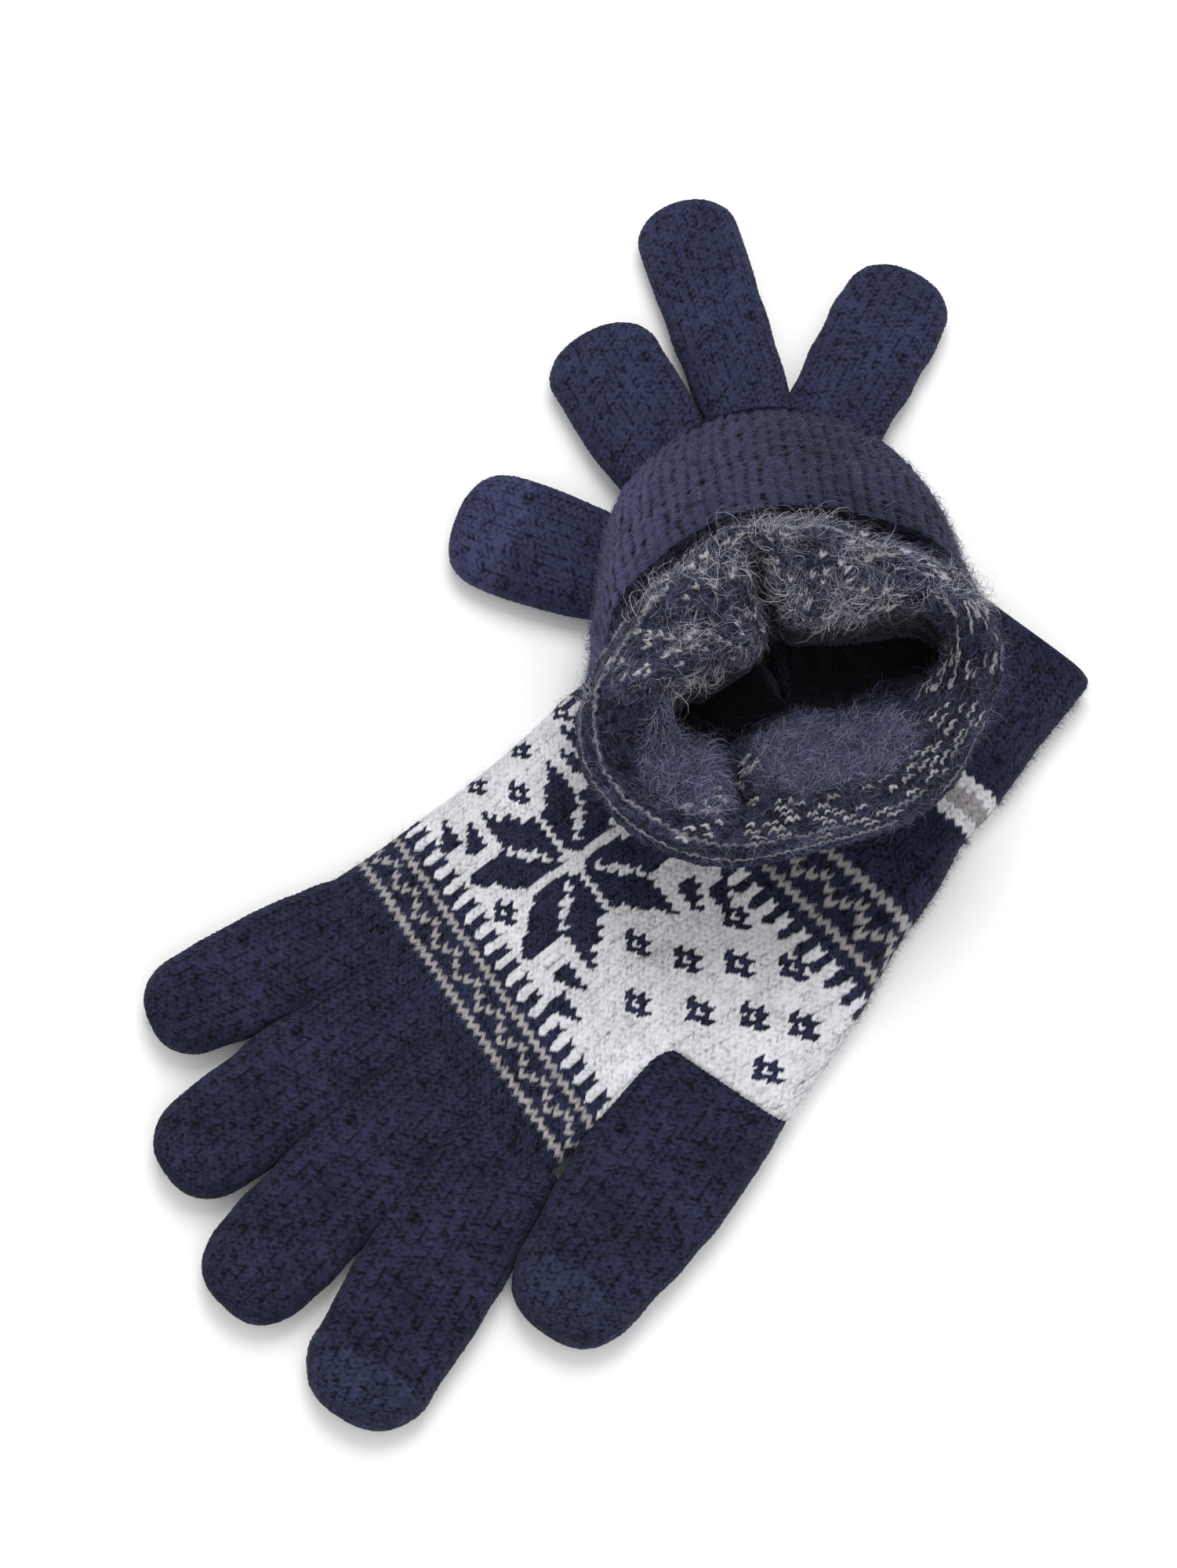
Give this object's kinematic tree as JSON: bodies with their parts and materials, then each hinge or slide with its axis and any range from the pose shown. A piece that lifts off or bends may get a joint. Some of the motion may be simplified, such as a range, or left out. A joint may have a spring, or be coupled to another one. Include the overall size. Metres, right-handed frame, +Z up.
{
  "type": "knitted gloves",
  "caption": "Pair of jacquard-knitted gloves: the left lies flat, palm up; the right stands on its fingers with its cuff turned back. Every finger folds at its root.",
  "frame": {"origin": "centre of the pair's bounding box, on the table plane", "axes": "+Z up from the table; +Y along the left glove from fingers to cuff, the longest extent; +X towards the left glove's thumb side"},
  "size_m": [0.1726, 0.3148, 0.062],
  "materials": {
    "navy_knit": "brushed wool knit, dark navy",
    "jacquard_knit": "stranded wool knit, off-white on navy",
    "touch_yarn": "conductive yarn knit, slate blue",
    "brushed_inside": "wrong side of the knit, brushed and hairy"
  },
  "bodies": {
    "left_hand": {"left_knuckle_section": "navy_knit", "left_knuckle_band": "jacquard_knit", "left_hand_jacquard": "jacquard_knit", "left_wrist_band": "jacquard_knit", "left_wrist": "navy_knit", "left_cuff_stripe": "jacquard_knit", "left_cuff": "navy_knit", "left_cuff_welt": "navy_knit"},
    "left_little": {"left_little_finger": "navy_knit"},
    "left_ring": {"left_ring_finger": "navy_knit"},
    "left_middle": {"left_middle_finger": "navy_knit"},
    "left_index": {"left_index_finger": "navy_knit", "left_index_tip": "touch_yarn"},
    "left_thumb": {"left_thumb": "navy_knit", "left_thumb_tip": "touch_yarn"},
    "right_hand": {"right_knuckle_section": "navy_knit", "right_hand_jacquard": "brushed_inside", "right_wrist_band": "jacquard_knit", "right_cuff_stripe": "brushed_inside", "right_cuff": "brushed_inside", "right_cuff_welt": "brushed_inside", "right_thumb": "navy_knit", "right_thumb_tip": "touch_yarn"},
    "right_little": {"right_little_finger": "navy_knit"},
    "right_ring": {"right_ring_finger": "navy_knit"},
    "right_middle": {"right_middle_finger": "navy_knit"},
    "right_index": {"right_index_finger": "navy_knit", "right_index_tip": "touch_yarn"}
  },
  "joints": [
    {"name": "left_little_fold", "type": "hinge", "parent": "left_hand", "child": "left_little", "pos_m": [-0.02619, -0.06704, 0.0109], "axis": [-0.9178, 0.3971, 0], "range_deg": [0, 60]},
    {"name": "left_ring_fold", "type": "hinge", "parent": "left_hand", "child": "left_ring", "pos_m": [-0.00476, -0.0722, 0.0109], "axis": [-0.9732, 0.23, 0], "range_deg": [0, 60]},
    {"name": "left_middle_fold", "type": "hinge", "parent": "left_hand", "child": "left_middle", "pos_m": [0.01595, -0.07997, 0.0109], "axis": [-0.9971, 0.0767, 0], "range_deg": [0, 60]},
    {"name": "left_index_fold", "type": "hinge", "parent": "left_hand", "child": "left_index", "pos_m": [0.03747, -0.08855, 0.0109], "axis": [-0.99, -0.1409, 0], "range_deg": [0, 60]},
    {"name": "left_thumb_fold", "type": "hinge", "parent": "left_hand", "child": "left_thumb", "pos_m": [0.06857, -0.04134, 0.0109], "axis": [-0.9984, -0.0558, 0], "range_deg": [0, 60]},
    {"name": "right_glove_lift", "type": "slide", "parent": "left_hand", "child": "right_hand", "axis": [0, 0, 1], "range_m": [0, 0.12]},
    {"name": "right_index_fold", "type": "hinge", "parent": "right_hand", "child": "right_index", "pos_m": [-0.03914, 0.04426, 0.0109], "axis": [-0.3173, 0.9483, 0], "range_deg": [0, 60]},
    {"name": "right_middle_fold", "type": "hinge", "parent": "right_hand", "child": "right_middle", "pos_m": [-0.04714, 0.07836, 0.0109], "axis": [0.3665, 0.9304, 0], "range_deg": [0, 60]},
    {"name": "right_ring_fold", "type": "hinge", "parent": "right_hand", "child": "right_ring", "pos_m": [-0.03664, 0.10166, 0.0109], "axis": [0.5592, 0.829, 0], "range_deg": [0, 60]},
    {"name": "right_little_fold", "type": "hinge", "parent": "right_hand", "child": "right_little", "pos_m": [-0.01724, 0.11266, 0.0109], "axis": [0.9799, 0.1994, 0], "range_deg": [0, 60]}
  ]
}
